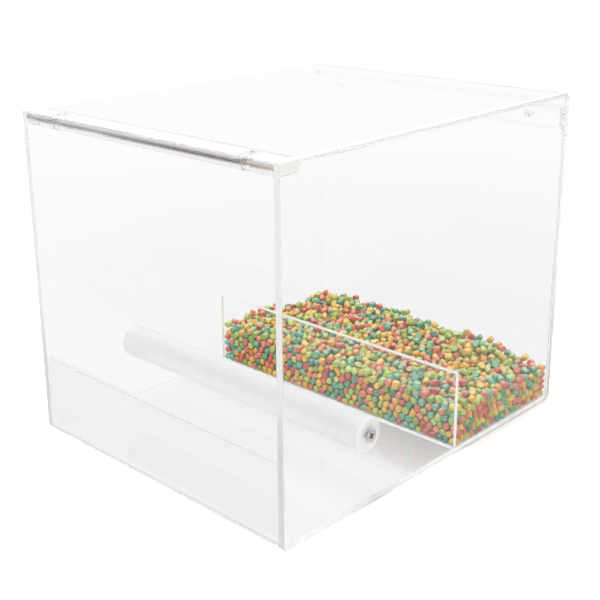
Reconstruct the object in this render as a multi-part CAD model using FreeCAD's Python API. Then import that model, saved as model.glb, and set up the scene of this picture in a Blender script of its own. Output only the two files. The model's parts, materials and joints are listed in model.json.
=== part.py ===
import FreeCAD, Part
import math
import os

# Clear box feeder: one bent sheet closed by two side panels, two drilled rails, a divider, a perch and its feed.
# Millimetres. The origin is the centre of the resting face, X runs to the right, the open front faces -Y.

# The box
inner_width = 195.0          # between the side panels
box_depth = 248.0            # outside of the lip to outside of the back
box_height = 200.0
sheet_thickness = 3.0        # the bent sheet
panel_thickness = 4.0        # the side panels
bend_inner_radius = 2.0      # inside of each heat bend
lip_height = 50.0
cement_film = 0.1            # left open between two cemented faces
polished_edge = 0.4          # rounding of the polished edges

# The two drilled rails, cut from one bevelled strip
rail_width = 16.0
rail_thickness = 4.0
rail_bevel = 3.0             # taken off the width of the free face at a bevelled edge
back_rail_drop = 4.0         # from the roof's underside down to the back rail
hang_hole_diameter = 5.0
hang_hole_spacing = 150.0

# The divider in front of the feed
divider_thickness = 3.0
divider_height = 48.0
divider_setback = 144.5      # from the front of the box to the divider's front face

# The perch
perch_diameter = 20.0
perch_setback = 67.0         # from the front of the box to the rod's axis
perch_height = 41.0          # from the resting face to the rod's axis
perch_end_gap = 0.25         # running gap between a rod end and its panel
perch_edge_round = 0.6

# The countersunk screws that carry the perch
screw_diameter = 3.5
screw_length = 25.0          # from the head's face to the tip
screw_tip_length = 3.0
screw_tip_diameter = 0.8
screw_head_diameter = 7.0
screw_head_land = 0.3        # straight rim of the head
screw_clearance = 0.15       # between a screw and its hole in the panel
pilot_clearance = 0.05       # between a screw and its hole in the rod
pilot_spare_depth = 2.0      # free hole beyond the tip
recess_span = 4.0            # cross recess, tip to tip
recess_width = 0.9
recess_depth = 1.5

# The heap of feed, as depths above the floor
feed_floor_gap = 0.3         # under the heap
feed_wall_gap = 0.8          # between the heap and the walls round it
feed_depth_front = 26.0
feed_depth_back_left = 25.0
feed_depth_back_right = 18.0
feed_crown = 5.0             # rise of the back's middle above a straight slope
feed_mound_rise = 2.5        # at the left panel, near the divider
feed_mound_reach = 20.0
feed_hollow_drop = 4.0       # at the left panel, near the back
feed_hollow_reach = 16.0
feed_back_mound_rise = 4.0   # against the back, to the right
feed_back_mound_reach = 24.0
feed_rows = 9                # points of the heap's top from the divider to the back
feed_columns = 15            # points of the heap's top across the width

# Places that follow from the sizes above
front = -box_depth / 2
back = box_depth / 2
wall = inner_width / 2
bend_outer_radius = bend_inner_radius + sheet_thickness
glued_half = wall - cement_film
roof_underside = box_height - sheet_thickness
back_inside = back - sheet_thickness
roof_rail_hole_y = front + rail_width / 2
back_rail_top = roof_underside - back_rail_drop
back_rail_hole_z = back_rail_top - rail_width / 2
divider_front = front + divider_setback
divider_back = divider_front + divider_thickness
perch_y = front + perch_setback
perch_half = wall - perch_end_gap
along_x = FreeCAD.Vector(1, 0, 0)


def in_section(y, z, x=0.0):
    """A point of the side-on section, at a distance along the width."""
    return FreeCAD.Vector(x, y, z)


def bent_run(corners, radius):
    """Edges along straight runs, with a tangent arc at every corner between the first and the last point."""
    edges = []
    start = corners[0]
    for before, corner, after in zip(corners, corners[1:], corners[2:]):
        arrive = (corner - before).normalize()
        leave = (after - corner).normalize()
        reach = radius * math.tan(arrive.getAngle(leave) / 2)
        arc_start = corner - arrive * reach
        arc_end = corner + leave * reach
        inwards = (leave - arrive).normalize()
        centre = corner + inwards * math.hypot(radius, reach)
        edges.append(Part.LineSegment(start, arc_start).toShape())
        edges.append(Part.Arc(arc_start, centre - inwards * radius, arc_end).toShape())
        start = arc_end
    edges.append(Part.LineSegment(start, corners[-1]).toShape())
    return edges


def plate(edges, start_x, thickness):
    """The closed section carried along the width."""
    section = Part.Face(Part.Wire(Part.__sortEdges__(edges)))
    section.translate(along_x * start_x)
    return section.extrude(along_x * thickness)


def polygon_plate(points, start_x, thickness):
    """A straight-sided section carried along the width."""
    return plate(Part.makePolygon(points + points[:1]).Edges, start_x, thickness)


def round_edges(solid, radius, wanted):
    """Rounds the edges whose centre and box fit the test."""
    return solid.makeFillet(radius, [edge for edge in solid.Edges if wanted(edge)])


def near(first, second):
    return abs(first - second) < 1e-6


def runs_across(edge, y, z):
    """True for an edge along the whole width at this place of the section."""
    box = edge.BoundBox
    return box.XLength > wall and near(box.YMax, y) and near(box.YMin, y) and near(box.ZMax, z) and near(box.ZMin, z)


def hang_holes(y, z, direction, length):
    """The two hanging holes, as bars to be cut away."""
    radius = hang_hole_diameter / 2
    places = [FreeCAD.Vector(side * hang_hole_spacing / 2, y, z) for side in (-1, 1)]
    return Part.makeCompound([Part.makeCylinder(radius, length, place, direction) for place in places])


def roof_holes():
    bottom = roof_underside - 2 * rail_thickness
    return hang_holes(roof_rail_hole_y, bottom, FreeCAD.Vector(0, 0, 1), box_height + rail_thickness - bottom)


def back_holes():
    start = back_inside - 2 * rail_thickness
    return hang_holes(start, back_rail_hole_z, FreeCAD.Vector(0, 1, 0), back + rail_thickness - start)


def make_body_sheet():
    """Front lip, floor, back and roof: one sheet bent at three corners."""
    outside = [
        in_section(front, lip_height),
        in_section(front, 0),
        in_section(back, 0),
        in_section(back, box_height),
        in_section(front, box_height),
    ]
    inside = [
        in_section(front + sheet_thickness, lip_height),
        in_section(front + sheet_thickness, sheet_thickness),
        in_section(back_inside, sheet_thickness),
        in_section(back_inside, roof_underside),
        in_section(front, roof_underside),
    ]
    edges = bent_run(outside, bend_outer_radius) + bent_run(inside, bend_inner_radius)
    edges.append(Part.LineSegment(outside[0], inside[0]).toShape())
    edges.append(Part.LineSegment(outside[-1], inside[-1]).toShape())
    sheet = plate(edges, -glued_half, 2 * glued_half)
    sheet = round_edges(
        sheet,
        polished_edge,
        lambda edge: runs_across(edge, front, lip_height)
        or runs_across(edge, front + sheet_thickness, lip_height)
        or runs_across(edge, front, box_height),
    )
    return sheet.cut(roof_holes()).cut(back_holes())


def screw_seat(side):
    """The countersunk hole for a perch screw, entered from outside a panel."""
    outside = side * (wall + panel_thickness)
    inwards = along_x * -side
    head_radius = screw_head_diameter / 2 + screw_clearance
    hole_radius = screw_diameter / 2 + screw_clearance
    mouth = FreeCAD.Vector(outside, perch_y, perch_height)
    land_end = mouth + inwards * screw_head_land
    land = Part.makeCylinder(head_radius, screw_head_land, mouth, inwards)
    cone = Part.makeCone(head_radius, hole_radius, head_radius - hole_radius, land_end, inwards)
    hole = Part.makeCylinder(hole_radius, 2 * panel_thickness, mouth, inwards)
    return land.fuse([cone, hole])


def make_side_panel(side):
    """A flat panel with the bent sheet's outline, square at the top front corner."""
    corners = [
        in_section(front, box_height),
        in_section(front, 0),
        in_section(back, 0),
        in_section(back, box_height),
        in_section(front, box_height),
    ]
    outside = side * (wall + panel_thickness)
    panel = plate(bent_run(corners, bend_outer_radius), side * wall, side * panel_thickness)
    panel = round_edges(
        panel, polished_edge, lambda edge: near(edge.BoundBox.XMin, outside) and near(edge.BoundBox.XMax, outside)
    )
    return panel.cut(screw_seat(side))


def make_roof_rail():
    """The strip under the roof's front edge, bevelled towards the inside of the box."""
    top = roof_underside - cement_film
    bottom = top - rail_thickness
    section = [
        in_section(front, top),
        in_section(front, bottom),
        in_section(front + rail_width - rail_bevel, bottom),
        in_section(front + rail_width, top),
    ]
    return polygon_plate(section, -glued_half, 2 * glued_half).cut(roof_holes())


def make_back_rail():
    """The strip inside the back, bevelled along its upper and lower edges."""
    rear = back_inside - cement_film
    face = rear - rail_thickness
    bottom = back_rail_top - rail_width
    section = [
        in_section(rear, back_rail_top),
        in_section(rear, bottom),
        in_section(face, bottom + rail_bevel),
        in_section(face, back_rail_top - rail_bevel),
    ]
    return polygon_plate(section, -glued_half, 2 * glued_half).cut(back_holes())


def make_feed_divider():
    """The low wall that keeps the feed at the back."""
    bottom = sheet_thickness + cement_film
    top = sheet_thickness + divider_height
    corner = FreeCAD.Vector(-glued_half, divider_front, bottom)
    divider = Part.makeBox(2 * glued_half, divider_thickness, top - bottom, corner)
    return round_edges(
        divider,
        polished_edge,
        lambda edge: runs_across(edge, divider_front, top) or runs_across(edge, divider_back, top),
    )


def make_perch_rod():
    """The round bar, bored at both ends for its screws."""
    start = FreeCAD.Vector(-perch_half, perch_y, perch_height)
    rod = Part.makeCylinder(perch_diameter / 2, 2 * perch_half, start, along_x)
    rod = rod.makeFillet(perch_edge_round, [edge for edge in rod.Edges if isinstance(edge.Curve, Part.Circle)])
    depth = screw_length - panel_thickness - perch_end_gap + pilot_spare_depth
    radius = screw_diameter / 2 + pilot_clearance
    pilots = [
        Part.makeCylinder(radius, depth, FreeCAD.Vector(side * perch_half, perch_y, perch_height), along_x * -side)
        for side in (-1, 1)
    ]
    return rod.cut(pilots[0]).cut(pilots[1])


def make_perch_screw(side):
    """A countersunk screw with a cross recess, its face flush with the outside of the panel."""
    shank_radius = screw_diameter / 2
    head_radius = screw_head_diameter / 2
    cone_end = screw_head_land + head_radius - shank_radius
    half_section = [
        FreeCAD.Vector(0, 0, 0),
        FreeCAD.Vector(0, head_radius, 0),
        FreeCAD.Vector(screw_head_land, head_radius, 0),
        FreeCAD.Vector(cone_end, shank_radius, 0),
        FreeCAD.Vector(screw_length - screw_tip_length, shank_radius, 0),
        FreeCAD.Vector(screw_length, screw_tip_diameter / 2, 0),
        FreeCAD.Vector(screw_length, 0, 0),
    ]
    section = Part.Face(Part.makePolygon(half_section + half_section[:1]))
    screw = section.revolve(FreeCAD.Vector(0, 0, 0), along_x, 360)
    arm_ends = [(recess_span, recess_width), (recess_width, recess_span)]
    for tall, wide in arm_ends:
        arm = Part.makeBox(recess_depth, tall, wide, FreeCAD.Vector(0, -tall / 2, -wide / 2))
        screw = screw.cut(arm)
    if side > 0:
        screw.rotate(FreeCAD.Vector(0, 0, 0), FreeCAD.Vector(0, 0, 1), 180)
    screw.translate(FreeCAD.Vector(side * (wall + panel_thickness), perch_y, perch_height))
    return screw


def feed_top(across, rearward):
    """Height of the heap at shares of its width and depth: a slope, crowned at the back, with mounds and a hollow."""
    back_depth = feed_depth_back_left + (feed_depth_back_right - feed_depth_back_left) * across
    back_depth += feed_crown * 4 * across * (1 - across)
    depth = feed_depth_front + (back_depth - feed_depth_front) * rearward
    swells = [
        (feed_mound_rise, feed_mound_reach, 0.0, 0.2),
        (-feed_hollow_drop, feed_hollow_reach, 0.0, 0.68),
        (feed_back_mound_rise, feed_back_mound_reach, 0.8, 1.0),
    ]
    for rise, reach, middle_across, middle_rearward in swells:
        aside = (across - middle_across) * inner_width
        behind = (rearward - middle_rearward) * (back_inside - divider_back)
        depth += rise * math.exp(-(aside**2 + behind**2) / reach**2)
    return sheet_thickness + depth


def make_feed_heap():
    """The loose feed as one mound that lies between the divider, the back and the panels."""
    near_y = divider_back + feed_wall_gap
    far_y = back_inside - feed_wall_gap
    floor = sheet_thickness + feed_floor_gap
    above = sheet_thickness + divider_height
    corners = [
        in_section(near_y, above),
        in_section(near_y, floor),
        in_section(far_y, floor),
        in_section(far_y, above),
    ]
    edges = bent_run(corners, bend_inner_radius - feed_floor_gap)
    edges.append(Part.LineSegment(corners[-1], corners[0]).toShape())
    half = wall - feed_wall_gap
    block = plate(edges, -half, 2 * half)
    shares_across = [column / (feed_columns - 1) for column in range(feed_columns)]
    shares_rearward = [row / (feed_rows - 1) for row in range(feed_rows)]
    grid = [
        [
            in_section(
                divider_back + (back_inside - divider_back) * rearward,
                feed_top(across, rearward),
                (2 * across - 1) * wall,
            )
            for rearward in shares_rearward
        ]
        for across in shares_across
    ]
    top = Part.BSplineSurface()
    top.interpolate(grid)
    spare = top.toShape().extrude(FreeCAD.Vector(0, 0, 2 * divider_height))
    return block.cut(spare)


nodes = {
    "body_sheet": make_body_sheet(),
    "side_panel_left": make_side_panel(-1),
    "side_panel_right": make_side_panel(1),
    "roof_rail": make_roof_rail(),
    "back_rail": make_back_rail(),
    "feed_divider": make_feed_divider(),
    "perch_rod": make_perch_rod(),
    "perch_screw_left": make_perch_screw(-1),
    "perch_screw_right": make_perch_screw(1),
    "feed_heap": make_feed_heap(),
}

os.makedirs("parts", exist_ok=True)
for name, shape in nodes.items():
    shape.exportStep(f"parts/{name}.step")
    print(f"{name}: {len(shape.Solids)} solid, valid {shape.isValid()}, {shape.Volume / 1000:.2f} cm3")
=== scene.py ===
# %% [markdown]
# # A clear box feeder for birds
# The feeder is a clear acrylic box: one sheet bent into front lip, floor, back and roof, two side panels
# cemented over its ends, two drilled rails, a divider, a frosted perch on two screws, and pellets of feed
# behind the divider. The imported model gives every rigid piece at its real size, in metres. This lesson
# dresses it: camera, light, clear plastic, cement seams, threaded screws and several thousand pellets.

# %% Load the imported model
import json
import bpy
import numpy as np
from mathutils import Matrix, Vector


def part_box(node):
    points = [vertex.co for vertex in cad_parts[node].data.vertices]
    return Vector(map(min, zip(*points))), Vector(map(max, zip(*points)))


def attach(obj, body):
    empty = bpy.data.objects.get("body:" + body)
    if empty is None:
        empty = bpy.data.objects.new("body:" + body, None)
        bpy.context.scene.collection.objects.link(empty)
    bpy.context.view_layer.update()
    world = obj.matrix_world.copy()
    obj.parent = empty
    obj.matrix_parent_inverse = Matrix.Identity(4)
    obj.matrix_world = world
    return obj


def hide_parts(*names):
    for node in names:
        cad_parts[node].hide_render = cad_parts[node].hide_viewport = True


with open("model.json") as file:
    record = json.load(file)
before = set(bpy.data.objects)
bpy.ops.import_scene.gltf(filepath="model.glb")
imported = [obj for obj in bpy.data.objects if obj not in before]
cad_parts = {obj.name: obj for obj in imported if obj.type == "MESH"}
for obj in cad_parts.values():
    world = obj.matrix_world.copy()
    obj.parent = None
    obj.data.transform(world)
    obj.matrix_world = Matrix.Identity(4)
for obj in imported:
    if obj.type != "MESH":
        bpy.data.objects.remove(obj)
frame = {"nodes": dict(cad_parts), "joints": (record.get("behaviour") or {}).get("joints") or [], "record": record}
nodes = frame["nodes"]
scene = bpy.context.scene
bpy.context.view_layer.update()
print("nodes:", ", ".join(sorted(nodes)))

# %% [markdown]
# ## Places on the model
# Finishes and seams have to sit exactly on the pieces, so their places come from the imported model. The
# boxes of its pieces give the faces, the record gives the drilled holes, and the joint gives the perch's
# axis. Only the sheet's thickness, the inner radius of its bends and the height of its lip are written
# here. All are in millimetres, and MM turns them into Blender's metres.

# %% Places on the model
MM = 0.001


def in_mm(metres):
    """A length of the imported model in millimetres, freed of the tiny error of stored coordinates."""
    return round(metres / MM, 3)


sheet_low, sheet_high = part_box("body_sheet")
panel_low, panel_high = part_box("side_panel_right")
divider_low, divider_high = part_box("feed_divider")
FRONT, BACK, TOP = in_mm(sheet_low.y), in_mm(sheet_high.y), in_mm(sheet_high.z)
SHEET, BEND, LIP = 3.0, 2.0, 50.0
PANEL_INSIDE, PANEL_FACE = in_mm(panel_low.x), in_mm(panel_high.x)
DIVIDER_FRONT, DIVIDER_BACK = in_mm(divider_low.y), in_mm(divider_high.y)
DIVIDER_TOP = in_mm(divider_high.z)
_, PERCH_Y, PERCH_Z = (in_mm(value) for value in frame["joints"][0]["pos_m"])

mounts = {mount["name"]: mount for mount in frame["record"]["mounts"]}
roof_holes = mounts["roof_hanging_holes"]
HOLE_X = roof_holes["dims"]["spacing_x_mm"] / 2
HOLE_RADIUS = roof_holes["dims"]["hole_r_mm"]
ROOF_HOLE_Y = in_mm(roof_holes["pos_m"][1])
BACK_HOLE_Z = in_mm(mounts["back_fixing_holes"]["pos_m"][2])
print("depth", BACK - FRONT, "height", TOP, "width", 2 * PANEL_FACE, "perch axis", (PERCH_Y, PERCH_Z), "mm")

# %% [markdown]
# ## The camera
# The picture shows the box from its right front corner, a little from above. A place and three directions
# set up a camera: where it stands and which ways its picture's right, up and back point. They were solved
# from the box's corners, so no hand turning is needed. The shift slides the picture in the frame without
# turning the camera.

# %% Camera
scene.view_settings.view_transform = "Standard"
camera_place = (0.43227, -0.46402, 0.30977)
picture_right = (0.711888, 0.702141, -0.014587)
picture_up = (-0.207321, 0.229954, 0.950871)
picture_back = (0.671010, -0.673880, 0.309270)

camera_data = bpy.data.cameras.new("feeder_camera")
camera_data.sensor_fit = "HORIZONTAL"
camera_data.sensor_width = 36.0
camera_data.lens = 65.83
camera_data.shift_x = 0.0517
camera_data.shift_y = -0.0680
camera_data.clip_start = 0.01
camera = bpy.data.objects.new("feeder_camera", camera_data)
scene.collection.objects.link(camera)
turn = Matrix((picture_right, picture_up, picture_back)).transposed().to_4x4()
camera.matrix_world = Matrix.Translation(camera_place) @ turn
scene.camera = camera
print("camera at", camera_place)

# %% [markdown]
# ## Small helpers for materials
# A material is a graph of nodes. Writing the graph by hand in code gets long, so short helpers make a node,
# set its inputs by name and join two sockets. Every finish below is built from them.

# %% Node helpers
def add_node(tree, kind, inputs=None, **settings):
    """One shader node: settings are its own properties, inputs are plain values or sockets to join."""
    made = tree.nodes.new(kind)
    for name, value in settings.items():
        setattr(made, name, value)
    for name, value in (inputs or {}).items():
        if isinstance(value, bpy.types.NodeSocket):
            tree.links.new(value, made.inputs[name])
        else:
            made.inputs[name].default_value = value
    return made


def empty_material(name):
    """A material with only its output node left."""
    material = bpy.data.materials.new(name)
    material.use_nodes = True
    tree = material.node_tree
    tree.nodes.clear()
    return material, tree, tree.nodes.new("ShaderNodeOutputMaterial")


def principled(material, tree, output, inputs):
    """The material, with a Principled shader joined to its output."""
    shader = add_node(tree, "ShaderNodeBsdfPrincipled", inputs)
    tree.links.new(shader.outputs[0], output.inputs[0])
    return material


def calculate(tree, operation, first, second=0.0):
    """The result socket of one Math node."""
    return add_node(tree, "ShaderNodeMath", {0: first, 1: second}, operation=operation).outputs[0]


def times(tree, first, *others):
    """All the values multiplied."""
    for other in others:
        first = calculate(tree, "MULTIPLY", first, other)
    return first


def remap(tree, value, low, high, to_low=0.0, to_high=1.0):
    """The value between low and high, stretched smoothly to a new range."""
    return add_node(
        tree,
        "ShaderNodeMapRange",
        {"Value": value, "From Min": low, "From Max": high, "To Min": to_low, "To Max": to_high},
        interpolation_type="SMOOTHSTEP",
    ).outputs["Result"]


def grey(level):
    """A neutral colour."""
    return (level, level, level, 1)


def blend_colors(tree, factor, first, second):
    """A colour between two colours."""
    inputs = {0: factor, 6: first, 7: second}
    return add_node(tree, "ShaderNodeMix", inputs, data_type="RGBA").outputs[2]


print("node helpers ready")

# %% [markdown]
# Patterns need to know where a point is on the model and which way its face looks. Object coordinates give both,
# and they stay with the piece when it moves. A painted shade that depends on which side is up at the moment takes
# the world's directions instead.

# %% Pattern helpers
def object_place(tree):
    """The coordinates of a point on the model, in metres, whole and as x, y and z."""
    coordinates = tree.nodes.new("ShaderNodeTexCoord").outputs["Object"]
    return coordinates, add_node(tree, "ShaderNodeSeparateXYZ", {0: coordinates}).outputs


def face_way(tree, source="ShaderNodeTexCoord"):
    """The x, y and z of the direction in which a face looks."""
    normal = tree.nodes.new(source).outputs["Normal"]
    return add_node(tree, "ShaderNodeSeparateXYZ", {0: normal}).outputs


def noise(tree, coordinates, scale, detail):
    """A cloudy pattern between 0 and 1."""
    return add_node(
        tree, "ShaderNodeTexNoise", {"Vector": coordinates, "Scale": scale, "Detail": detail}
    ).outputs["Fac"]


def ramp(tree, place, start, end):
    """A smooth rise from 0 to 1 along a coordinate, between two places in millimetres."""
    return remap(tree, place, start * MM, end * MM)


print("pattern helpers ready")

# %% [markdown]
# ## A white studio
# Clear plastic has no colour of its own: it shows what is behind it and what it mirrors. So the studio is
# the most important part of its look. The camera sees plain white. The plastic sees the same sweep a little
# greyer, as a real white room is, greyest towards the front. A low grey strip on the left shows in the
# edges that mirror it. Matt things are lit by a much dimmer sky, so that the lamps shape them.

# %% World
world = bpy.data.worlds.new("white_studio")
scene.world = world
world.use_nodes = True
sky = world.node_tree
sky.nodes.clear()
ray = sky.nodes.new("ShaderNodeLightPath").outputs
sky_place = sky.nodes.new("ShaderNodeTexCoord").outputs["Generated"]
direction = add_node(sky, "ShaderNodeSeparateXYZ", {0: sky_place}).outputs

ceiling = remap(sky, direction["Z"], 0.45, 0.85)
sweep_color = blend_colors(sky, ceiling, grey(0.985), (0.93, 0.925, 0.92, 1))
front_room = remap(sky, direction["Y"], -0.3, -0.7)
sweep_color = blend_colors(sky, front_room, sweep_color, (0.88, 0.87, 0.86, 1))

leftward = calculate(sky, "MAXIMUM", calculate(sky, "MULTIPLY", direction["X"], -1.0), 0.05)
bearing = calculate(sky, "DIVIDE", direction["Y"], leftward)
grey_strip = times(
    sky,
    remap(sky, bearing, -1.2, -0.9),
    remap(sky, bearing, 1.10, 1.02),
    remap(sky, direction["Z"], 0.215, 0.245),
    remap(sky, direction["Z"], 0.39, 0.36),
    remap(sky, direction["X"], -0.45, -0.6),
)
strip_color = blend_colors(sky, remap(sky, bearing, 0.62, 0.74), grey(0.50), (0.35, 0.34, 0.34, 1))
strip_color = blend_colors(sky, remap(sky, bearing, 0.84, 0.97), strip_color, (0.45, 0.38, 0.33, 1))
sweep_color = blend_colors(sky, grey_strip, sweep_color, strip_color)

lights_matt_things = calculate(sky, "GREATER_THAN", ray["Diffuse Depth"], 0.5)
room_color = blend_colors(sky, lights_matt_things, sweep_color, grey(0.385))
seen_color = blend_colors(sky, ray["Is Camera Ray"], room_color, grey(1))
background = add_node(sky, "ShaderNodeBackground", {"Color": seen_color, "Strength": 1.0})
sky.links.new(background.outputs[0], sky.nodes.new("ShaderNodeOutputWorld").inputs[0])
print("world:", world.name, "with", len(sky.nodes), "nodes")

# %% [markdown]
# The floor is one large sheet of paper under the box. Its surface is put together from matt and glowing
# ones, so short helpers make and join these.

# %% Floor helpers
def new_object(name, points, faces):
    """An object at the origin with a new mesh, linked into the scene."""
    mesh = bpy.data.meshes.new(name)
    mesh.from_pydata(points.tolist(), [], faces)
    made = bpy.data.objects.new(name, mesh)
    scene.collection.objects.link(made)
    return made


def matt_paper(tree, level):
    """A matt grey surface."""
    return add_node(tree, "ShaderNodeBsdfDiffuse", {"Color": grey(level)}).outputs[0]


def glowing_paper(tree, color, strength):
    """A surface that gives off light."""
    return add_node(tree, "ShaderNodeEmission", {"Color": color, "Strength": strength}).outputs[0]


def add_surfaces(tree, first, second):
    """The light of two surfaces together."""
    return add_node(tree, "ShaderNodeAddShader", {0: first, 1: second}).outputs[0]


def mix_surfaces(tree, factor, first, second):
    """A surface between two surfaces."""
    return add_node(tree, "ShaderNodeMixShader", {0: factor, 1: first, 2: second}).outputs[0]


print("floor helpers ready")

# %% [markdown]
# Lit paper never quite reaches white, so a little glow is added for the eye's rays only, and the lamps' light on
# it still carries the soft shadow. What the plastic mirrors or lets through is a paper of its own: greyer near the
# box, a little darker towards the front, and with a painted shadow under the feed.

# %% Floor
FLOOR_HALF_WIDTH = 6.0
FLOOR_HEIGHT = -0.4 * MM
corners = np.array([(-1, -1), (1, -1), (1, 1), (-1, 1)], float) * FLOOR_HALF_WIDTH
floor = new_object("studio_floor", np.column_stack((corners, np.full(4, FLOOR_HEIGHT))), [(0, 1, 2, 3)])
paper, tree, output = empty_material("studio_paper")
ray = tree.nodes.new("ShaderNodeLightPath").outputs
_, place = object_place(tree)
squares = [calculate(tree, "POWER", place[axis], 2.0) for axis in "XY"]
distance = calculate(tree, "SQRT", calculate(tree, "ADD", *squares))

lit_paper = matt_paper(tree, 0.80)
seen_paper = add_surfaces(tree, lit_paper, glowing_paper(tree, grey(1), 0.36))
far_paper = glowing_paper(tree, grey(1), 1.0)
eye_paper = mix_surfaces(tree, remap(tree, distance, 0.35, 0.9), seen_paper, far_paper)
bare_paper = mix_surfaces(tree, ray["Is Camera Ray"], lit_paper, eye_paper)

# Painted shadow of the feed: the paper seen through the plastic is darkened under the heap and just in front of
# it.
painted_feed_shadow = times(
    tree,
    ramp(tree, calculate(tree, "ABSOLUTE", place["X"]), 98.5, 93.5),
    ramp(tree, place["Y"], -45, 30),
    ramp(tree, place["Y"], 126, 116),
)
front_to_back = remap(tree, place["Y"], -110 * MM, -40 * MM, 0.735, 0.765)
shade = calculate(tree, "SUBTRACT", front_to_back, times(tree, painted_feed_shadow, 0.39))
near_paper = add_surfaces(tree, matt_paper(tree, 0.16), glowing_paper(tree, (0.985, 0.985, 1.0, 1), shade))
sweep_paper = glowing_paper(tree, grey(0.98), 1.0)
through_paper = mix_surfaces(tree, remap(tree, distance, 0.12, 0.9), near_paper, sweep_paper)

mirrored = calculate(tree, "MAXIMUM", ray["Is Glossy Ray"], ray["Is Transmission Ray"])
mirrored = times(tree, mirrored, calculate(tree, "LESS_THAN", ray["Diffuse Depth"], 0.5))
shown_paper = mix_surfaces(tree, mirrored, bare_paper, through_paper)
tree.links.new(shown_paper, output.inputs[0])
floor.data.materials.append(paper)
print("floor:", floor.name, 2 * FLOOR_HALF_WIDTH, "m wide")

# %% [markdown]
# ## Soft lamps
# Two wide panels of light stand in for softboxes: the larger hangs above and to the left, the smaller fills
# from the right. Wide lamps give the pellets round, soft shading.

# %% Lamps
LAMP_TARGET = (0, 0.02, 0.05)


def unit(vectors):
    """Vectors scaled to length one."""
    return vectors / np.linalg.norm(vectors, axis=-1, keepdims=True)


def softbox(name, place, size, power):
    """A square area lamp that looks at the target. It lights things, but no mirror image shows it."""
    data = bpy.data.lights.new(name, "AREA")
    data.shape = "SQUARE"
    data.size = size
    data.energy = power
    lamp = bpy.data.objects.new(name, data)
    scene.collection.objects.link(lamp)
    back = unit(np.subtract(place, LAMP_TARGET))
    side = unit(np.cross((0, 0, 1), back))
    turn = Matrix((side, np.cross(back, side), back)).transposed().to_4x4()
    lamp.matrix_world = Matrix.Translation(place) @ turn
    lamp.visible_glossy = False
    lamp.visible_transmission = False
    return lamp


for lamp in (
    softbox("top_softbox", (-0.30, -0.25, 1.15), 0.8, 11.5),
    softbox("side_softbox", (1.05, -0.30, 0.70), 0.6, 4.7),
):
    print(lamp.name, lamp.data.energy, "W")

# %% [markdown]
# ## Clear acrylic
# The sheets are cast acrylic: clear through the face, and frosted where a saw, a drill or sandpaper has been. The
# masks for that come from the place on the model and the way a face looks: faces that look along a panel's plane
# are its cut edges. Each kind of piece has its own look, made of four parts: the tint of the clear plastic, the
# colour of the frosted spots, the share of frost, and a faint painted glow of the cut edges, which stands in for
# light that has run along inside the sheet and comes out there.

# %% Masks and tints
ACRYLIC_IOR = 1.49
CLEAR_TINTS = ((0.985, 0.988, 0.99, 1), (0.995, 0.996, 0.997, 1))
SANDED_IVORY = ((0.92, 0.915, 0.88, 1), (1.0, 0.995, 0.96, 1))
UPPER_HALF = 150.0


def ring_mask(tree, first, first_middle, second, second_middle, radius):
    """One within a radius of an axis, by the distance in the plane of two coordinates. The axis and the
    radius are in millimetres."""
    aside = calculate(tree, "POWER", calculate(tree, "SUBTRACT", first, first_middle * MM), 2.0)
    along = calculate(tree, "POWER", calculate(tree, "SUBTRACT", second, second_middle * MM), 2.0)
    return calculate(tree, "LESS_THAN", calculate(tree, "ADD", aside, along), (radius * MM) ** 2)


def hole_walls(tree, place):
    """One at the walls of the hanging holes in the roof and the fixing holes in the back."""
    across = calculate(tree, "ABSOLUTE", place["X"])
    reach = HOLE_RADIUS + 0.1
    roof_hole = ring_mask(tree, across, HOLE_X, place["Y"], ROOF_HOLE_Y, reach)
    back_hole = ring_mask(tree, across, HOLE_X, place["Z"], BACK_HOLE_Z, reach)
    high = calculate(tree, "GREATER_THAN", place["Z"], UPPER_HALF * MM)
    return times(tree, calculate(tree, "MAXIMUM", roof_hole, back_hole), high)


def painted_reflection_streak(tree, x, left, middle, right):
    """The colour of the painted reflection along the roof's front: one colour at the left, one past the middle and
    one at the right.
    """
    tint = blend_colors(tree, ramp(tree, x, -10, 45), left, middle)
    return blend_colors(tree, ramp(tree, x, 70, 90), tint, right)


print("masks ready")

# %% [markdown]
# The rails and the sheet are drilled, and the sheet's lip is sanded on top. The cut front of the roof and of the
# rail below it carries a dark streak, a painted reflection made by a dark tint of the clear plastic. A panel is
# frosted on all its cut edges and gets greyer towards the floor. Its bottom edge shows saw strokes.

# %% Looks of the clear pieces
def drilled_look(tree, place, grain):
    """A clear piece with frosted hole walls: the back rail, and what sheet and front rail start from."""
    return {
        "clear": blend_colors(tree, grain, *CLEAR_TINTS),
        "sanded": blend_colors(tree, grain, *SANDED_IVORY),
        "frosted": times(tree, hole_walls(tree, place), 0.25),
        "glow": 0.0,
    }


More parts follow.
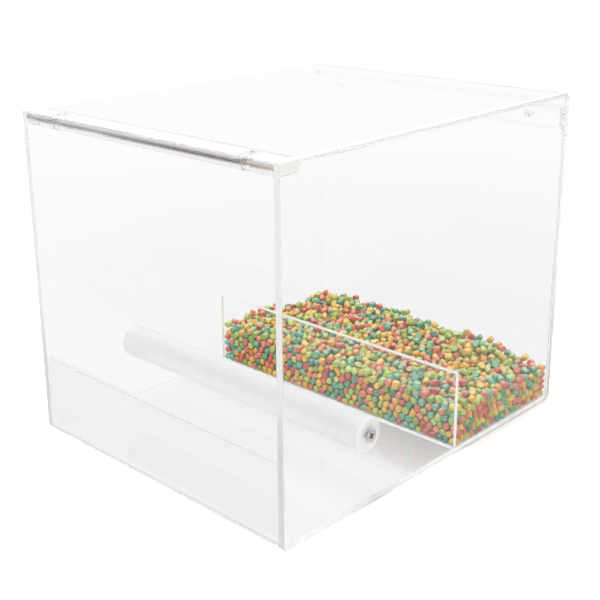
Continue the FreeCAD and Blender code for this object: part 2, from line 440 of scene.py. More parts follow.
def sheet_look(tree, place, grain):
    """The bent sheet: a faintly blue lip with a greyish sanded top, and a painted reflection, a dark streak, on
    the cut edge at the roof's front.
    """
    look = drilled_look(tree, place, grain)
    lip = times(
        tree,
        calculate(tree, "LESS_THAN", place["Y"], (FRONT + SHEET + 0.5) * MM),
        calculate(tree, "LESS_THAN", place["Z"], (LIP + 10) * MM),
    )
    lip_top = times(tree, lip, ramp(tree, place["Z"], LIP - 1.0, LIP - 0.3))
    cut = times(
        tree,
        ramp(tree, place["Y"], FRONT + 0.6, FRONT + 0.2),
        calculate(tree, "GREATER_THAN", place["Z"], UPPER_HALF * MM),
        ramp(tree, place["Z"], TOP - 1.0, TOP - 1.3),
    )
    # Painted reflection: the cut front of the roof is tinted dark, lighter near its top.
    painted_streak = painted_reflection_streak(
        tree, place["X"], (0.12, 0.115, 0.115, 1), (0.067, 0.045, 0.045, 1), (0.33, 0.24, 0.17, 1)
    )
    upper = ramp(tree, place["Z"], TOP - 2.6, TOP - 2.3)
    painted_streak = blend_colors(tree, upper, painted_streak, (0.36, 0.345, 0.34, 1))
    clear = blend_colors(tree, lip, look["clear"], (0.93, 0.937, 0.942, 1))
    look["clear"] = blend_colors(tree, cut, clear, painted_streak)
    look["sanded"] = blend_colors(tree, grain, (0.70, 0.70, 0.675, 1), (0.79, 0.785, 0.765, 1))
    look["frosted"] = calculate(tree, "MAXIMUM", look["frosted"], times(tree, lip_top, 0.7))
    return look


def front_rail_look(tree, place, grain):
    """The front rail: a painted reflection darkens the top of its front face, and its bevel at the back is a
    little warmer.
    """
    look = drilled_look(tree, place, grain)
    # Painted reflection: the top of the rail's front face is tinted dark.
    painted_streak = painted_reflection_streak(
        tree, place["X"], (0.24, 0.23, 0.23, 1), (0.13, 0.105, 0.105, 1), (0.40, 0.30, 0.22, 1)
    )
    upper = ramp(tree, place["Z"], TOP - 4.3, TOP - 4.0)
    painted_streak = blend_colors(tree, upper, grey(0.86), painted_streak)
    backward = face_way(tree)["Y"]
    clear = blend_colors(tree, remap(tree, backward, -0.6, -0.9), look["clear"], painted_streak)
    look["clear"] = blend_colors(tree, remap(tree, backward, 0.5, 0.7), clear, (0.92, 0.91, 0.90, 1))
    return look


def divider_look(tree, place, grain):
    """The divider: clear, with a sanded top."""
    top = ramp(tree, place["Z"], DIVIDER_TOP - 0.8, DIVIDER_TOP - 0.3)
    return {
        "clear": blend_colors(tree, grain, (0.985, 0.99, 0.988, 1), (0.995, 0.997, 0.996, 1)),
        "sanded": blend_colors(tree, grain, *SANDED_IVORY),
        "frosted": times(tree, top, 0.5),
        "glow": 0.0,
    }


def panel_look(tree, place, grain, edge_upper, edge_lower):
    """A side panel: frosted cut edges with a faint painted glow that fades out towards the floor, edges that get
    greyer towards the floor, a bottom edge with the strokes of a saw, and a bored hole round the perch's screw."""
    way = face_way(tree)
    sideways = calculate(tree, "ABSOLUTE", way["X"])
    edge = remap(tree, sideways, 0.9, 0.6)
    low = ramp(tree, place["Z"], 95, 45)
    sawn = times(tree, remap(tree, way["Z"], -0.6, -0.9), remap(tree, grain, 0.40, 0.62))
    bored = ring_mask(tree, place["Y"], PERCH_Y, place["Z"], PERCH_Z, 4.2)
    bored = times(tree, bored, remap(tree, sideways, 0.97, 0.85))
    edge_color = blend_colors(tree, low, edge_upper, edge_lower)
    clear = blend_colors(tree, edge, (0.99, 0.992, 0.994, 1), edge_color)
    sanded = blend_colors(tree, grain, (0.96, 0.96, 0.965, 1), grey(1))
    return {
        "clear": blend_colors(tree, sawn, clear, (0.90, 0.90, 0.895, 1)),
        "sanded": blend_colors(tree, low, sanded, (0.81, 0.81, 0.80, 1)),
        "frosted": calculate(tree, "MAXIMUM", times(tree, bored, 0.15), times(tree, edge, 0.85)),
        # Painted glow: a faint emission on the cut edges, fading out towards the floor.
        "glow": times(tree, edge, remap(tree, low, 0.0, 1.0, 0.045, 0.0)),
    }


def left_panel_look(tree, place, grain):
    """The left panel, whose far edges are lighter all over."""
    light_edge = (0.97, 0.97, 0.96, 1)
    return panel_look(tree, place, grain, light_edge, light_edge)


def right_panel_look(tree, place, grain):
    """The right panel, whose near edges are a little greyer."""
    return panel_look(tree, place, grain, (0.90, 0.90, 0.91, 1), (0.83, 0.835, 0.825, 1))


print("looks ready")

# %% [markdown]
# One Principled shader takes the four parts of a look. Frost lowers the transmission and roughens the
# surface, and elsewhere the polish is only as uneven as a wiped pane. The mirror value is the shader's
# specular tint: a low one keeps the mirror images in the panes as faint as they are in a bright white room.
# The clear pieces throw no shadow and stop no bounced light, since light passes through them.

# %% Dress the clear pieces
def clear_acrylic(name, look_of, mirror):
    """Clear cast sheet: full transmission and a high polish, apart from what the look of the piece adds."""
    material, tree, output = empty_material(name)
    coordinates, place = object_place(tree)
    strokes = add_node(tree, "ShaderNodeMapping", {"Vector": coordinates, "Scale": (300.0, 1100.0, 300.0)})
    grain = noise(tree, strokes.outputs[0], 1.0, 2.0)
    look = look_of(tree, place, grain)
    frosted = look["frosted"]
    polish = remap(tree, noise(tree, coordinates, 40.0, 2.0), 0.3, 0.7, 0.0, 0.008)
    rough = add_node(tree, "ShaderNodeMix", {0: frosted, 2: polish, 3: 0.5}, data_type="FLOAT").outputs[0]
    surface = {
        "Base Color": blend_colors(tree, frosted, look["clear"], look["sanded"]),
        "Transmission Weight": calculate(tree, "SUBTRACT", 1.0, frosted),
        "IOR": ACRYLIC_IOR,
        "Specular Tint": grey(mirror),
        "Roughness": rough,
        "Emission Color": grey(1),
        # The emission is a painted glow of the cut edges.
        "Emission Strength": look["glow"],
    }
    return principled(material, tree, output, surface)


def dress(node_name, material):
    """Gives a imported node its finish."""
    piece = nodes[node_name]
    piece.data.materials.clear()
    piece.data.materials.append(material)
    return piece


clear_pieces = {
    "body_sheet": (sheet_look, 0.35),
    "side_panel_left": (left_panel_look, 0.2),
    "side_panel_right": (right_panel_look, 0.2),
    "roof_rail": (front_rail_look, 0.2),
    "back_rail": (drilled_look, 0.2),
    "feed_divider": (divider_look, 0.5),
}
for name, (look_of, mirror) in clear_pieces.items():
    piece = dress(name, clear_acrylic("clear_" + name, look_of, mirror))
    piece.visible_shadow = False
    piece.visible_diffuse = False
print("clear pieces:", len(clear_pieces))

# %% [markdown]
# ## Cement seams
# Acrylic boxes are put together with a thin solvent cement, and it dries to a film wherever two pieces
# meet. Each film is a strip a fifth of a millimetre thick that reaches into both pieces, as the cement
# does: light inside the plastic would otherwise be thrown back by the air gap and never show it. A strip is
# a ring of four points carried along a path.

# %% Cement strips
BEND_STEPS = 7


def ring_quads(rings, size, turned=False):
    """Quads between rings of points that follow one another: a point, its neighbour round the ring, and the
    two points after them in the next ring. Turned, the quads run the other way round."""
    start = np.arange(rings - 1)[:, None] * size
    around = np.arange(size)
    after = (around + 1) % size
    quads = np.stack((start + around, start + after, start + size + after, start + size + around), -1)
    quads = quads.reshape(-1, 4)
    return quads[:, [0, 3, 2, 1]] if turned else quads


def film_strip(corners, start, end):
    """A thin closed strip between x = start and x = end. Its corners are pairs of (y, z) points along it,
    and one ring of four points for each pair gives the four long walls and the two end caps."""
    rows = len(corners)
    ring = np.empty((rows, 4, 3))
    ring[:, 0, 1:] = ring[:, 1, 1:] = corners[:, 0]
    ring[:, 2, 1:] = ring[:, 3, 1:] = corners[:, 1]
    ring[:, (0, 3), 0] = start
    ring[:, (1, 2), 0] = end
    last = 4 * (rows - 1)
    caps = np.array([(3, 2, 1, 0), (last, last + 1, last + 2, last + 3)])
    return ring.reshape(-1, 3), np.concatenate((ring_quads(rows, 4), caps))


def bent_strip(low_share, upper_share=0.31):
    """Pairs of points on the two sides of the bent sheet's section, from the lip's top round to the front
    rail: straight runs joined by quarter circles of the bend's inner and outer radius. Each pair is then
    drawn together by a share of the thickness, which changes to the upper share on the way up the back."""
    outer = BEND + SHEET
    behind_rail = FRONT + 16.5
    turn = np.linspace(0, np.pi / 2, BEND_STEPS)
    front_bend = (FRONT + outer, outer, np.pi)
    back_bend = (BACK - outer, outer, 1.5 * np.pi)
    roof_bend = (BACK - outer, TOP - outer, 0.0)
    sides = []
    for radius, depth in ((outer, 0.0), (BEND, SHEET)):
        arcs = [
            np.column_stack((y + radius * np.cos(start + turn), z + radius * np.sin(start + turn)))
            for y, z, start in (front_bend, back_bend, roof_bend)
        ]
        first = [(FRONT + depth, LIP - 0.5)]
        last = [(behind_rail, TOP - depth)]
        sides.append(np.concatenate((first, *arcs, last)))
    outside, inside = sides
    change = [0, 2 * BEND_STEPS - 2, 2 * BEND_STEPS + 2]
    share = np.interp(np.arange(len(outside)), change, [low_share, low_share, upper_share])[:, None]
    across = inside - outside
    return np.stack((outside + share * across, inside - share * across), 1) * MM


def box_pairs(y_low, y_high, z_low, z_high):
    """An upright rectangle as two pairs of points, in millimetres."""
    return np.array([((y_low, z_low), (y_high, z_low)), ((y_low, z_high), (y_high, z_high))]) * MM


def foot_bead(radius, y_face, z_floor, half_length, steps=6):
    """A bead of cement in a corner: a quarter circle that hollows from the floor up to the upright face,
    carried from one end of the corner to the other. Its reach wanders a little along the way, by two slow
    waves."""
    x = np.linspace(-half_length, half_length, 80)
    reach = radius * (1 + 0.12 * np.sin(310 * x) + 0.10 * np.sin(733 * x + 1))
    turn = np.linspace(0, np.pi / 2, steps)
    curve = np.column_stack((1 - np.sin(turn), 1 - np.cos(turn)))
    section = np.concatenate(([(0.0, 0.0)], curve))
    rows, size = len(x), len(section)
    points = np.empty((rows, size, 3))
    points[:, :, 0] = x[:, None]
    points[:, :, 1] = y_face - reach[:, None] * section[:, 0]
    points[:, :, 2] = z_floor + reach[:, None] * section[:, 1]
    around = np.arange(size)
    caps = [around.tolist(), ((rows - 1) * size + around[::-1]).tolist()]
    return points.reshape(-1, 3), ring_quads(rows, size, turned=True).tolist() + caps


print("the sheet's section has", len(bent_strip(0.0)), "pairs of points")

# %% [markdown]
# Between the sheets and the panels the cement is a matt ivory, a little browner up at the roof, and broken into
# dashes on the floor behind the divider. It carries a faint painted glow, which stands in for light from the
# sheet's end and is strongest on the floor behind the divider.
# Under the roof and at the divider's foot it has dried clearer, which shows as light grey.

# %% Cement finish
def cement_finish(name, low_dark, low_light, upper_color):
    """Dried cement: mottled between two shades along the floor, another colour up at the roof, with greyer gaps
    between its dashes on the floor behind the divider, where its painted glow is also strongest."""
    material, tree, output = empty_material(name)
    coordinates, place = object_place(tree)
    on_floor = calculate(tree, "LESS_THAN", place["Z"], (SHEET + 1.0) * MM)
    behind = times(tree, on_floor, ramp(tree, place["Y"], 18, 26))
    gaps = times(tree, behind, remap(tree, noise(tree, coordinates, 190.0, 2.0), 0.52, 0.46))
    mottle = noise(tree, coordinates, 900.0, 2.0)
    dried = blend_colors(tree, mottle, low_dark, low_light)
    dried = blend_colors(tree, ramp(tree, place["Z"], 20, 190), dried, upper_color)
    surface = {
        "Base Color": blend_colors(tree, gaps, dried, (0.80, 0.79, 0.765, 1)),
        # The emission is a painted glow.
        "Emission Color": (1.0, 0.97, 0.92, 1),
        "Emission Strength": remap(tree, behind, 0.0, 1.0, 0.03, 0.20),
        "Specular IOR Level": 0.06,
        "Roughness": remap(tree, mottle, 0.35, 0.65, 0.5, 0.8),
    }
    return principled(material, tree, output, surface)


def add_piece(name, points, faces, material, body):
    """A finished piece at the origin, riding on a body."""
    piece = new_object(name, points, faces)
    piece.data.materials.append(material)
    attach(piece, body)
    return piece


ivory_cement = cement_finish(
    "dried_cement", (0.93, 0.925, 0.885, 1), (0.985, 0.98, 0.955, 1), (0.93, 0.915, 0.885, 1)
)
clear_cement = cement_finish("clear_cement", (0.66, 0.66, 0.65, 1), (0.76, 0.76, 0.75, 1), grey(0.74))
print("finishes:", ivory_cement.name, clear_cement.name)

# %% [markdown]
# The seams are the ends of the bent sheet, the divider and the rails against the panels, the flat joint
# between roof and front rail with gaps round its two holes, and the bead along the divider's foot. Seams on
# the same panel are joined into one mesh. At the left panel the sheet's seam stops just before the divider,
# and the back rail has none.

# %% Cement pieces
FILM_HALF = 0.09 * MM
film_middle = (in_mm(sheet_high.x) + PANEL_INSIDE) / 2
sheet_end = bent_strip(0.12)
lip_end = bent_strip(0.36)[: BEND_STEPS + 2]
lip_end[-1, :, 0] = (DIVIDER_FRONT - 2.5) * MM
divider_end = box_pairs(DIVIDER_FRONT + 0.3, DIVIDER_BACK - 0.3, SHEET + 0.4, DIVIDER_TOP - 0.6)
rail_end = np.array(
    [
        ((FRONT + 0.4, TOP - 6.7), (FRONT + 12.6, TOP - 6.7)),
        ((FRONT + 0.4, TOP - 3.2), (FRONT + 15.4, TOP - 3.2)),
        ((FRONT + 0.4, TOP - 0.4), (FRONT + 16.0, TOP - 0.4)),
    ]
) * MM
back_rail_end = np.array(
    [
        ((BACK - 6.8, BACK_HOLE_Z - 4.6), (BACK - 6.8, BACK_HOLE_Z + 4.6)),
        ((BACK - 3.4, BACK_HOLE_Z - 7.6), (BACK - 3.4, BACK_HOLE_Z + 7.6)),
    ]
) * MM
rail_top = box_pairs(FRONT + 0.5, FRONT + 12.4, TOP - SHEET - 0.14, TOP - SHEET + 0.04)
hole_gap = 3.5
roof_runs = (
    (-film_middle + 0.25, -HOLE_X - hole_gap),
    (-HOLE_X + hole_gap, HOLE_X - hole_gap),
    (HOLE_X + hole_gap, film_middle - 0.25),
)
left, right = ((side * film_middle * MM - FILM_HALF, side * film_middle * MM + FILM_HALF) for side in (-1, 1))
seams = {
    "cement_left": [(corners, *left) for corners in (lip_end, divider_end, rail_end)],
    "cement_right": [(corners, *right) for corners in (sheet_end, divider_end, rail_end, back_rail_end)],
    "cement_roof": [(rail_top, start * MM, end * MM) for start, end in roof_runs],
}
for name, strips in seams.items():
    points, faces, total = [], [], 0
    for corners, start, end in strips:
        made, quads = film_strip(corners, start, end)
        points.append(made)
        faces.append(quads + total)
        total += len(made)
    finish = clear_cement if name == "cement_roof" else ivory_cement
    faces = np.concatenate(faces).tolist()
    piece = add_piece(name, np.concatenate(points), faces, finish, "housing")
    piece.visible_shadow = False
    print(piece.name, total, "points")

points, faces = foot_bead(1.3 * MM, DIVIDER_FRONT * MM, SHEET * MM, (film_middle - 0.15) * MM)
foot = add_piece("cement_foot", points, faces, clear_cement, "housing")
foot.data.polygons.foreach_set("use_smooth", np.ones(len(faces), bool))
print(foot.name, len(points), "points")

# %% [markdown]
# ## The frosted perch
# The perch is a round acrylic bar, sanded so that feet can grip it. Light soaks in on all sides, wanders about
# inside and leaves again everywhere, which makes the bar an even milky white. Subsurface scattering, with a reach
# of some millimetres, does part of that, and a painted shade in its colour evens out the lit and the shaded side
# the rest of the way.

# %% Frosted perch
def frosted_acrylic(name):
    """Milky white frosted rod: nearly all light enters, scatters over more than half the rod's width and leaves
    again. Its colour carries a painted shade that evens out the lamps' light: the top is painted a little greyer,
    the underside and the ends whiter, and the end faces whiter at the bottom than at the top."""
    material, tree, output = empty_material(name)
    coordinates, place = object_place(tree)
    grain = noise(tree, coordinates, 2200.0, 3.0)
    bump = add_node(tree, "ShaderNodeBump", {"Height": grain, "Strength": 0.15, "Distance": 0.2 * MM})
    way = face_way(tree, "ShaderNodeNewGeometry")
    # Painted shade: the rod is coloured greyer on top and whiter underneath, by the world's up, and its end faces
    # are darker towards the top.
    round_painted_shade = remap(tree, way["Z"], -0.5, 0.75, 1.0, 0.62)
    end_painted_shade = remap(tree, place["Z"], (PERCH_Z - 8) * MM, (PERCH_Z + 8) * MM, 1.0, 0.78)
    at_end = remap(tree, calculate(tree, "ABSOLUTE", way["X"]), 0.6, 0.9)
    milk_and_painted_shade = blend_colors(tree, at_end, round_painted_shade, end_painted_shade)
    surface = {
        "Base Color": blend_colors(tree, times(tree, grain, 0.1), milk_and_painted_shade, grey(1)),
        "Subsurface Weight": 1.0,
        "Subsurface Radius": (1.0, 1.0, 1.0),
        "Subsurface Scale": 14 * MM,
        "Roughness": remap(tree, grain, 0.3, 0.7, 0.55, 0.75),
        "IOR": ACRYLIC_IOR,
        "Specular IOR Level": 0.2,
        "Normal": bump.outputs[0],
    }
    return principled(material, tree, output, surface)


perch = dress("perch_rod", frosted_acrylic("frosted_perch"))
print("dressed", perch.name)

# %% [markdown]
# ## The perch screws
# Each end of the perch hangs on a countersunk tapping screw with a cross recess. A screw is one sheet of
# points: rings that start at the middle of the recess, climb out over the head's face and run down the cone
# and the threaded shank. The angles of the head's rings bunch up at the walls of the cross, so that a
# coarse grid still cuts a sharp recess.

# %% Screw shape
HEAD_RADIUS, SHANK_RADIUS, POINT_RADIUS = 3.5, 1.7, 0.45
SCREW_LENGTH, TAPER_START = 25.0, 22.0
RECESS_DEPTH, RECESS_RADIUS, ARM_HALF_WIDTH = 1.5, 2.02, 0.45
THREAD_PITCH, THREAD_DEPTH = 1.35, 0.45


def arm_angles(radius, half_width):
    """Angles round a ring that follow the walls of four recess arms: an arm's wall stands at the arcsine of
    its half width over the radius, and each eighth of the ring has three angles inside the wall and three
    outside."""
    wall = np.arcsin(np.minimum(half_width / np.maximum(radius, 1e-9), np.sin(np.pi / 4)))[:, None]
    inner = wall * np.array([0.0, 0.6, 0.96])
    outer = wall * 1.04 + (np.pi / 4 - wall * 1.04) * np.array([0.0, 0.34, 0.67])
    half = np.concatenate((inner, np.minimum(outer, np.pi / 4)), 1)
    quarter = np.concatenate((half, np.full_like(wall, np.pi / 4), -half[:, :0:-1] + np.pi / 2), 1)
    inside = np.concatenate((np.ones(3), np.zeros(7), np.ones(2)))
    return np.concatenate([quarter + k * np.pi / 2 for k in range(4)], 1), np.tile(inside, 4)


def screw_rings():
    """Rings of a screw in millimetres along x from the head's face. On the head, the depth is the recess
    depth inside the arms and zero elsewhere. On the shank, the radius is the root plus the thread's height
    times a peak that runs round with the angle: the distance from the crest, in turns, sharpened to a
    ridge."""
    head = np.array([0.15, 0.4, 0.6, 0.75, 1.0, 1.3, 1.6, 1.85, 1.98, 2.06, 2.6, 3.1, 3.4, HEAD_RADIUS])
    angle, inside = arm_angles(head, ARM_HALF_WIDTH)
    depth = np.clip((RECESS_RADIUS - head) / 0.12, 0, 1) * (RECESS_DEPTH - 0.35 * head)
    head_x = depth[:, None] * inside
    head_r = np.broadcast_to(head[:, None], head_x.shape)
    along = np.concatenate(([0.3, 2.05, 2.6, 6.0], np.linspace(6.2, SCREW_LENGTH - 0.1, 150)))
    outline = np.interp(
        along,
        [0.3, 2.05, 2.6, TAPER_START, SCREW_LENGTH],
        [HEAD_RADIUS, SHANK_RADIUS + 0.05, SHANK_RADIUS, SHANK_RADIUS, POINT_RADIUS],
    )
    shank_angle = np.broadcast_to(angle[-1], (len(along), angle.shape[1]))
    phase = (along[:, None] / THREAD_PITCH - shank_angle / (2 * np.pi)) % 1.0
    ridge = np.clip(1 - 3.2 * np.abs(phase - 0.5), 0, 1)
    cut = np.interp(along, [5.5, 6.8, TAPER_START, SCREW_LENGTH], [0.0, THREAD_DEPTH, THREAD_DEPTH, 0.1])
    shank_r = outline[:, None] - cut[:, None] * (1 - ridge)
    shank_x = np.broadcast_to(along[:, None], shank_r.shape)
    head_and_shank = ((head_x, shank_x), (head_r, shank_r), (angle, shank_angle))
    return [np.concatenate(pair) for pair in head_and_shank]


def end_fans(rings, size, turned=False):
    """Triangles that close the first and the last ring with the two points that follow all the rings."""
    around = np.arange(size)
    after = (around + 1) % size
    last = (rings - 1) * size
    first_fan = np.column_stack((after, around, np.full(size, rings * size)))
    last_fan = np.column_stack((last + around, last + after, np.full(size, rings * size + 1)))
    fans = np.concatenate((first_fan, last_fan))
    return fans[:, [1, 0, 2]] if turned else fans


def screw_mesh_data(side, turned):
    """Points and faces of a screw: rings of (x, radius, angle) become points round the perch's axis."""
    along, radius, angle = screw_rings()
    y = PERCH_Y + radius * np.cos(angle + turned)
    z = PERCH_Z + radius * np.sin(angle + turned)
    points = np.stack((side * (PANEL_FACE - along), y, z), -1).reshape(-1, 3)
    ends = [(side * (PANEL_FACE - depth), PERCH_Y, PERCH_Z) for depth in (RECESS_DEPTH, SCREW_LENGTH)]
    quads = ring_quads(*along.shape, turned=True)
    fans = end_fans(*along.shape, turned=True)
    if side < 0:
        quads, fans = quads[:, ::-1], fans[:, ::-1]
    return np.concatenate((points, ends)) * MM, quads.tolist() + fans.tolist()


print("a screw has", screw_rings()[0].size, "points on its rings")

# %% [markdown]
# The screws are bright plated steel. The colour darkens inside the cross recess, with dirt and painted shade, and
# at a few dark nicks of the rim; the recess is found by its depth below the head's face and its distance from the
# axis.

# %% Screw finish and pieces
def bright_steel(name):
    """Plated steel with a recess darkened by dirt and painted shade, and a few dark nicks near the rim of the
    head.
    """
    material, tree, output = empty_material(name)
    coordinates, place = object_place(tree)
    grain = noise(tree, coordinates, 1500.0, 3.0)
    nicks = noise(tree, coordinates, 700.0, 1.0)
    out = calculate(tree, "ABSOLUTE", place["X"])
    recess = times(
        tree,
        ring_mask(tree, place["Y"], PERCH_Y, place["Z"], PERCH_Z, 2.1),
        ramp(tree, out, PANEL_FACE - 0.1, PANEL_FACE - 0.5),
        calculate(tree, "GREATER_THAN", out, (PANEL_FACE - 2.0) * MM),
    )
    middle = ring_mask(tree, place["Y"], PERCH_Y, place["Z"], PERCH_Z, 2.4)
    rim_nicks = times(tree, calculate(tree, "SUBTRACT", 1.0, middle), remap(tree, nicks, 0.60, 0.66), 0.8)
    color = blend_colors(tree, grain, (0.56, 0.53, 0.49, 1), (0.74, 0.71, 0.67, 1))
    color = blend_colors(tree, rim_nicks, color, (0.16, 0.13, 0.10, 1))
    # Painted shade and dirt: the recess is coloured dark brown.
    color = blend_colors(tree, recess, color, (0.10, 0.075, 0.05, 1))
    surface = {"Base Color": color, "Metallic": 1.0, "Roughness": remap(tree, grain, 0.3, 0.7, 0.28, 0.5)}
    return principled(material, tree, output, surface)


steel = bright_steel("screw_steel")
for side, name, turned in ((-1, "left", 0.9), (1, "right", 0.35)):
    points, faces = screw_mesh_data(side, turned)
    piece = new_object("threaded_screw_" + name, points, faces)
    piece.data.materials.append(steel)
    piece.visible_shadow = False
    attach(piece, "perch")
    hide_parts("perch_screw_" + name)
    print(piece.name, len(faces), "faces")

# %% [markdown]
# ## The pellets
# The feed is a few thousand short pressed cylinders with rounded rims, in four colours. They could be
# dropped with a rigid-body run, but that is slow. Here each pellet is first a ball: the balls start on a
# jittered lattice, sink, and push each other apart, all as whole arrays. Each ball then gets its own turned
# and dented pellet.

# %% Heap of balls
rng = np.random.default_rng(41)
WALL_GAP = 0.05 * MM
OPEN_TOP = 1.0
LATTICE_STEP = 4.75 * MM
LATTICE_JITTER = 1.1
HEAP_WIDTH, HEAP_DEPTH, HEAP_AT_DIVIDER = 195, 97, 29.0
feed_low = np.array([-panel_low.x + WALL_GAP, divider_high.y + WALL_GAP, SHEET * MM + WALL_GAP])
feed_high = np.array([panel_low.x - WALL_GAP, sheet_high.y - SHEET * MM - WALL_GAP, OPEN_TOP])


def heap_top(x, y):
    """Height of the heap: a slope from the divider to the back, crowned at the back, with soft swells on
    it. Each swell is a rise times the bell curve of its distance over its reach."""
    u = (x - feed_low[0]) / (feed_high[0] - feed_low[0])
    v = (y - feed_low[1]) / (feed_high[1] - feed_low[1])
    at_back = 28.0 - 7.0 * u + 20.0 * u * (1 - u)
    top = HEAP_AT_DIVIDER + (at_back - HEAP_AT_DIVIDER) * v
    rise_reach_place = (
        (2.5, 20, 0.0, 0.2),
        (-4.0, 16, 0.0, 0.68),
        (4.0, 24, 0.8, 1.0),
        (2.0, 18, 0.19, 1.0),
        (2.5, 10, 1.0, 0.0),
    )
    for rise, reach, at_u, at_v in rise_reach_place:
        far = (HEAP_WIDTH * (u - at_u)) ** 2 + (HEAP_DEPTH * (v - at_v)) ** 2
        top = top + rise * np.exp(-far / reach**2)
    return top * MM


lattice_end = (feed_high[0], feed_high[1], 50 * MM)
axes = [
    np.arange(low + 0.5 * LATTICE_STEP, high, LATTICE_STEP) for low, high in zip(feed_low, lattice_end)
]
balls = np.stack(np.meshgrid(*axes, indexing="ij"), -1).reshape(-1, 3)
balls = balls + rng.uniform(-LATTICE_JITTER, LATTICE_JITTER, balls.shape) * MM
balls = balls[balls[:, 2] < heap_top(balls[:, 0], balls[:, 1]) + 0.6 * MM]
count = len(balls)
print("balls:", count)

# %% [markdown]
# A pellet's length and radius are drawn at random. Its ball has the same volume, a little enlarged, because
# turned cylinders pack less closely than balls. Only balls that are near each other can touch, so the list
# of near pairs is made anew every few steps and used in between.

# %% Pack the pellets
PAIR_REACH = 6.4 * MM
SINK_PER_STEP = 0.06 * MM
PUSH_SHARE = 0.36
PACKING_STEPS, STEPS_PER_LIST = 160, 10
BALL_ENLARGED = 1.13
pellet_radius = np.clip(rng.normal(2.08, 0.18, count), 1.7, 2.5) * MM
pellet_length = np.clip(rng.normal(3.8, 0.75, count), 2.3, 5.4) * MM
ball_radius = BALL_ENLARGED * np.cbrt(0.75 * pellet_radius**2 * pellet_length)


def close_pairs(points, reach):
    """Index pairs of points nearer than reach. The points are sorted along the width, and the sorted list
    is compared with itself shifted by one place, two places and so on, until even the nearest shift is out
    of reach."""
    order = np.argsort(points[:, 0])
    line = points[order]
    found = []
    for shift in range(1, len(points)):
        gap = line[shift:] - line[:-shift]
        if gap[:, 0].min() > reach:
            break
        near = np.nonzero((gap**2).sum(1) < reach**2)[0]
        found.append(np.column_stack((order[near], order[near + shift])))
    return np.concatenate(found)


for step in range(PACKING_STEPS):
    if step % STEPS_PER_LIST == 0:
        first, second = close_pairs(balls, PAIR_REACH).T
    balls[:, 2] -= SINK_PER_STEP
    gap = balls[first] - balls[second]
    length = np.linalg.norm(gap, axis=1)
    overlap = np.maximum(ball_radius[first] + ball_radius[second] - length, 0)
    push = gap / length[:, None] * (PUSH_SHARE * overlap)[:, None]
    for way in range(3):
        balls[:, way] += np.bincount(first, push[:, way], count)
        balls[:, way] -= np.bincount(second, push[:, way], count)
    balls = np.clip(balls, feed_low + ball_radius[:, None], feed_high - ball_radius[:, None])
print("pellets:", count, "highest", round(balls[:, 2].max() / MM, 1), "mm")

# %% [markdown]
# A pressed pellet is a short cylinder, never quite round: the press leaves small flats, dents and slanting
# ends. Since there are thousands, one pellet has only a few dozen faces, and the crumbly surface is left to
# the finish. All of them are made at once, as one array with a row of points for each pellet.

# %% Shape the pellets
PELLET_SIDES, PELLET_RINGS = 10, 4


def pellet_points(radius, length):
    """Short cylinders with a small rounded rim: rings at heights t along the axis have a share of the
    radius, with a slightly oval and dented section and tilted ends. The result has one row of points per
    pellet."""
    rows = len(radius)
    t = np.array([-1.0, -1.0, -0.84, 0.84, 1.0, 1.0])
    ring = np.array([0.0, 0.86, 1.0, 1.0, 0.86, 0.0])
    angle = np.arange(PELLET_SIDES) * 2 * np.pi / PELLET_SIDES
    phase = rng.uniform(0, 2 * np.pi, (3, rows, 1, 1))
    oval = 1 + 0.07 * np.cos(2 * angle + phase[0]) + 0.04 * np.cos(3 * angle + phase[1] + 1.5 * t[:, None])
    oval = oval * rng.uniform(0.95, 1.05, (rows, len(t), PELLET_SIDES))
    across = radius[:, None, None] * ring[:, None] * oval
    tilt = rng.uniform(0, 0.2, (rows, 1, 1)) * np.cos(angle + phase[2])
    along = 0.5 * length[:, None, None] * t[:, None] + across * tilt * t[:, None]
    points = np.stack((across * np.cos(angle), across * np.sin(angle), along), -1)
    inner = points[:, 1:-1].reshape(rows, -1, 3)
    ends = points[:, [0, -1]].mean(2)
    return np.concatenate((inner, ends), 1)


quads = ring_quads(PELLET_RINGS, PELLET_SIDES)
fans = end_fans(PELLET_RINGS, PELLET_SIDES)
print("faces of a pellet:", len(quads) + len(fans))

# %% [markdown]
# Inside the heap pellets lie every way. Against the clear walls it is different: there a pellet shows
# either its side or its flat end, pressed to the plastic. So the pellets that touch a wall are turned to
# one of the two and slid until they meet it. At the end each one draws a colour and a tone of its own.

# %% Lay the pellets against the walls
WALL_REACH = 0.8 * MM
END_ON_SHARE = 0.5
WOBBLE = 0.05
axis = unit(rng.normal(size=(count, 3)))
contacts = []
for way, low_side in ((0, True), (0, False), (1, True), (1, False), (2, True)):
    room = balls[:, way] - feed_low[way] if low_side else feed_high[way] - balls[:, way]
    touching = room < ball_radius + WALL_REACH
    end_on = touching & (rng.uniform(size=count) < END_ON_SHARE)
    flat = touching & ~end_on
    axis[flat, way] = rng.normal(0, WOBBLE, flat.sum())
    axis[end_on] = np.eye(3)[way] + rng.normal(0, WOBBLE, (end_on.sum(), 3))
    axis = unit(axis)
    contacts.append((way, low_side, touching))
side = unit(np.cross(axis, rng.normal(size=(count, 3))))
turns = np.stack((side, np.cross(axis, side), axis), -1)
shapes = np.einsum("nij,nkj->nki", turns, pellet_points(pellet_radius, pellet_length)) + balls[:, None, :]
for way, low_side, touching in contacts:
    room = shapes.min(1)[:, way] - feed_low[way] if low_side else feed_high[way] - shapes.max(1)[:, way]
    shift = np.where(touching | (room < 0), room - rng.uniform(0, 0.2, count) * MM, 0)
    shapes[:, :, way] -= (shift if low_side else -shift)[:, None]
color_of = rng.choice(4, count, p=(0.27, 0.26, 0.27, 0.20))
tone = np.clip(rng.normal(0.5, 0.22, count), 0, 1)
print("pellet points:", shapes.shape[0] * shapes.shape[1])
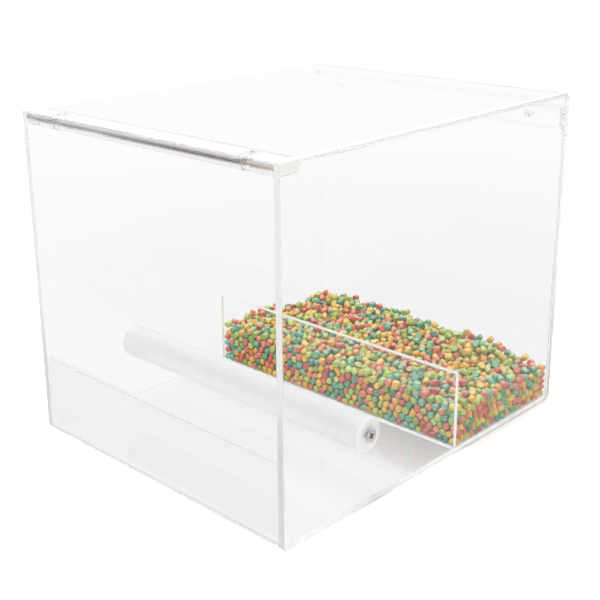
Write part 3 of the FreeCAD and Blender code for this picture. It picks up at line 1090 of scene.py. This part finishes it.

# %% [markdown]
# The pellets are matt and a little floury: a pale colour on their upward faces is floury dust and also a painted
# highlight on the tops. Each colour is one mesh with one finish, which runs from a dark to a light shade of the
# colour: the pellet's own tone chooses the shade, and a fine noise adds crumbs, as colour and as bumps.

# %% Pellet finish and meshes
def pellet_finish(name, dark, light):
    """Matt feed between a dark and a light shade, by a pellet's tone and a crumbly noise, with floury dust and a
    painted highlight on top.
    """
    material, tree, output = empty_material(name)
    coordinates, _ = object_place(tree)
    pellet_tone = add_node(tree, "ShaderNodeAttribute", attribute_name="tone").outputs["Fac"]
    crumb = noise(tree, coordinates, 900.0, 4.0)
    crumbs = times(tree, calculate(tree, "SUBTRACT", crumb, 0.5), 0.9)
    shade = remap(tree, calculate(tree, "ADD", pellet_tone, crumbs), 0.0, 1.0)
    # Floury dust and painted highlight: a pale colour on faces that look upward.
    flour_and_painted_highlight = remap(tree, face_way(tree)["Z"], 0.40, 1.0, 0.0, 0.38)
    color = blend_colors(tree, flour_and_painted_highlight, blend_colors(tree, shade, dark, light), (0.88, 0.82, 0.62, 1))
    bump = add_node(tree, "ShaderNodeBump", {"Height": crumb, "Strength": 0.5, "Distance": 0.4 * MM})
    surface = {"Base Color": color, "Roughness": 0.85, "Normal": bump.outputs[0]}
    return principled(material, tree, output, surface)


feed_colors = {
    "coral": ((0.56, 0.073, 0.047, 1), (0.855, 0.266, 0.153, 1)),
    "yellow": ((0.70, 0.328, 0.0153, 1), (0.893, 0.608, 0.077, 1)),
    "lime": ((0.25, 0.37, 0.031, 1), (0.557, 0.675, 0.14, 1)),
    "teal": ((0.045, 0.266, 0.155, 1), (0.22, 0.55, 0.342, 1)),
}
for index, (name, (dark, light)) in enumerate(feed_colors.items()):
    chosen = shapes[color_of == index]
    rows, size, _ = chosen.shape
    offset = (np.arange(rows) * size)[:, None, None]
    faces = (quads + offset).reshape(-1, 4).tolist() + (fans + offset).reshape(-1, 3).tolist()
    piece = new_object("feed_" + name, chosen.reshape(-1, 3), faces)
    mesh = piece.data
    smooth = np.zeros(len(faces), bool)
    smooth[: len(quads) * rows] = True
    mesh.polygons.foreach_set("use_smooth", smooth)
    layer = mesh.attributes.new("tone", "FLOAT", "POINT")
    layer.data.foreach_set("value", np.repeat(tone[color_of == index], size).astype(np.float32))
    mesh.materials.append(pellet_finish("feed_" + name, dark, light))
    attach(piece, "housing")
    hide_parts("feed_heap")
    print(name, rows, "pellets")

# %% [markdown]
# ## Bounces
# Light that runs along inside a clear sheet is thrown back many times before it leaves, so the limits on bounces
# are raised.

# %% Bounces
MOST_BOUNCES = 128
scene.cycles.max_bounces = MOST_BOUNCES
scene.cycles.transmission_bounces = MOST_BOUNCES
scene.cycles.glossy_bounces = MOST_BOUNCES
